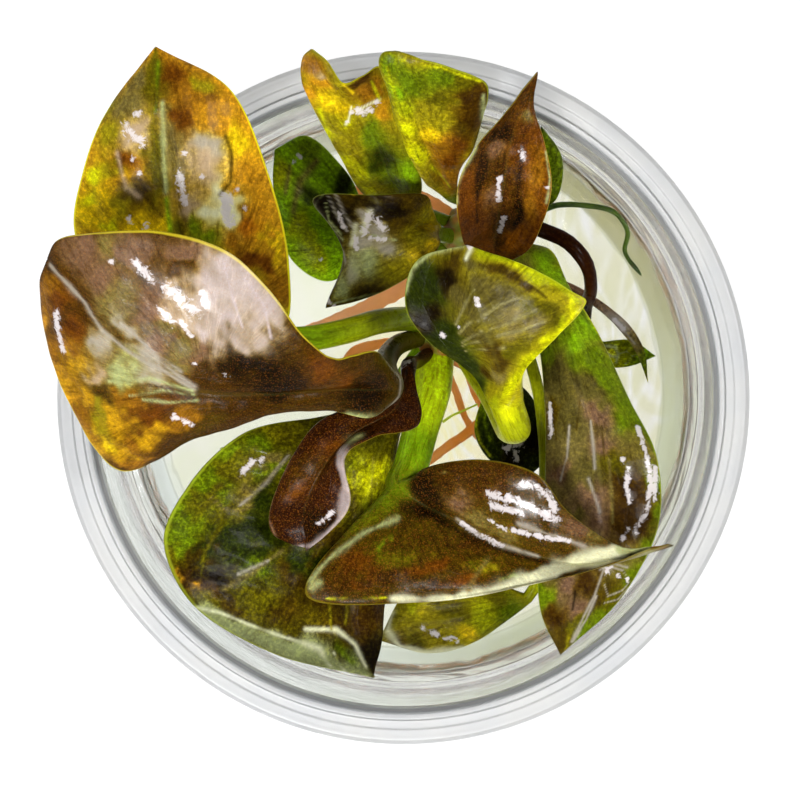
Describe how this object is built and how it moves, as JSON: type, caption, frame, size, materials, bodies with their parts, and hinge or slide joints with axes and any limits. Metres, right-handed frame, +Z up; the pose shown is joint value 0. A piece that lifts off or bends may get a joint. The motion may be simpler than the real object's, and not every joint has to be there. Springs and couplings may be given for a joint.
{
  "type": "tissue culture echinodorus reni in its jar",
  "caption": "Round clear culture cup with agar gel and a young red-leaved sword plant whose leaves stand out over the rim.",
  "frame": {"origin": "centre of the cup's flat underside", "axes": "+Z up the cup's axis; +Y towards the back leaves, which is up in the picture; +X to the right"},
  "size_m": [0.1006, 0.1, 0.0832],
  "materials": {
    "cup": "clear moulded",
    "gel": "milky agar",
    "stalk": "fresh green",
    "leaf_amber": "wet yellow and amber",
    "leaf_brown": "wet red-brown",
    "leaf_green": "wet olive green",
    "root": "pale orange"
  },
  "bodies": {
    "root": {"cup": "cup", "gel": "gel", "crown_front": "stalk", "crown_back": "stalk", "leaf_upper_left": "leaf_amber", "leaf_left": "leaf_brown", "leaf_red": "leaf_brown", "leaf_lower_left": "leaf_green", "leaf_lower": "leaf_brown", "leaf_centre": "leaf_green", "leaf_dark": "leaf_green", "leaf_right": "leaf_green", "leaf_bottom": "leaf_amber", "leaf_torn": "leaf_amber", "leaf_top": "leaf_green", "leaf_pointed": "leaf_brown", "leaf_behind": "leaf_green", "leaf_round": "leaf_green", "leaf_grey": "leaf_green", "leaf_small": "leaf_green", "leaf_strip": "leaf_green", "root_1": "root", "root_2": "root", "root_3": "root", "root_4": "root", "root_5": "root", "root_6": "root", "runner": "stalk"}
  },
  "joints": []
}
